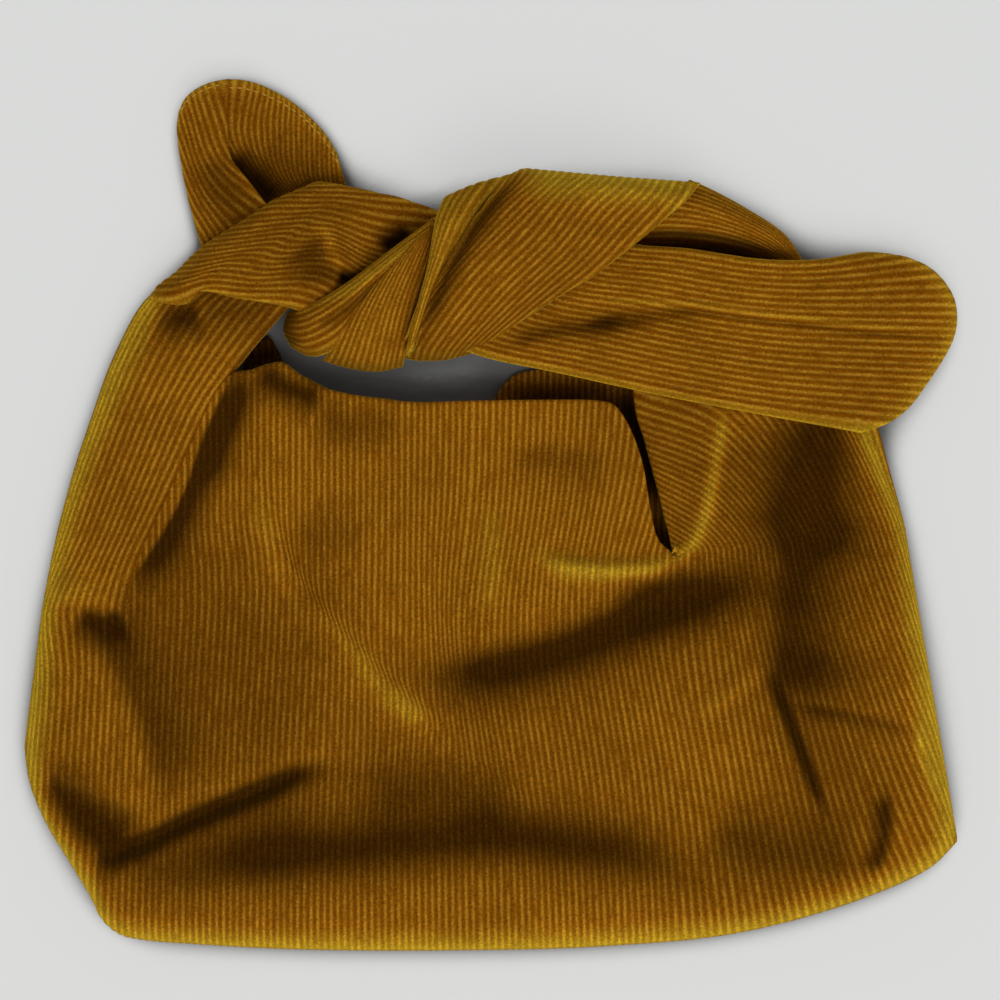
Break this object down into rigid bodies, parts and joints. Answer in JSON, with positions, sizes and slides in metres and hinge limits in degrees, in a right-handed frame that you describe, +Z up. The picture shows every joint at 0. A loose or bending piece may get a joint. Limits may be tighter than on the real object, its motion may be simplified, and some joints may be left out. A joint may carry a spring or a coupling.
{
  "type": "knot-handled corduroy bag",
  "caption": "Soft lined corduroy bag lying flat, with straps tied in a half knot as a handle, round-ended tails and an open mouth under the knot.",
  "frame": {"origin": "on the table under the middle of the bag's bounding box, with the bag lying on its back", "axes": "+X across the bag to the right tail's side, +Y from the bottom fold to the knot, +Z up off the table"},
  "size_m": [0.2802, 0.2596, 0.0389],
  "materials": {
    "corduroy": "mustard brown ribbed corduroy with a soft pile",
    "corduroy_lining": "the same corduroy as the outside, used as lining"
  },
  "bodies": {
    "bag_body": {"front_panel": "corduroy", "front_lining": "corduroy_lining", "back_panel": "corduroy", "back_lining": "corduroy_lining"},
    "mouth_lip": {"front_lip": "corduroy", "front_lip_lining": "corduroy_lining"},
    "handle": {"left_strap": "corduroy", "left_strap_lining": "corduroy_lining", "left_strap_turn": "corduroy", "left_strap_turn_lining": "corduroy_lining", "right_strap": "corduroy", "right_strap_lining": "corduroy_lining", "knot_wrap": "corduroy", "knot_wrap_lining": "corduroy_lining", "knot_wrap_fold": "corduroy", "knot_lower_wrap": "corduroy", "knot_underpass": "corduroy", "knot_underpass_lining": "corduroy_lining"},
    "right_tail": {"right_tail": "corduroy", "right_tail_lining": "corduroy_lining"},
    "left_tail": {"left_tail": "corduroy", "left_tail_lining": "corduroy_lining"}
  },
  "joints": [
    {"name": "handle_fold", "type": "hinge", "parent": "bag_body", "child": "handle", "pos_m": [-0.00496, -0.01641, 0.016], "axis": [0.9955, 0.0946, 0], "range_deg": [0, 90]},
    {"name": "mouth_lift", "type": "hinge", "parent": "bag_body", "child": "mouth_lip", "pos_m": [-0.00496, -0.01641, 0.016], "axis": [0.9955, 0.0946, 0], "range_deg": [0, 35]},
    {"name": "right_tail_lift", "type": "hinge", "parent": "handle", "child": "right_tail", "pos_m": [-0.00626, 0.04669, 0.01852], "axis": [-0.8103, -0.5791, -0.0897], "range_deg": [0, 80]},
    {"name": "left_tail_lift", "type": "hinge", "parent": "handle", "child": "left_tail", "pos_m": [-0.08881, 0.08757, 0.0037], "axis": [0.9309, 0.3653, 0], "range_deg": [0, 80]}
  ]
}
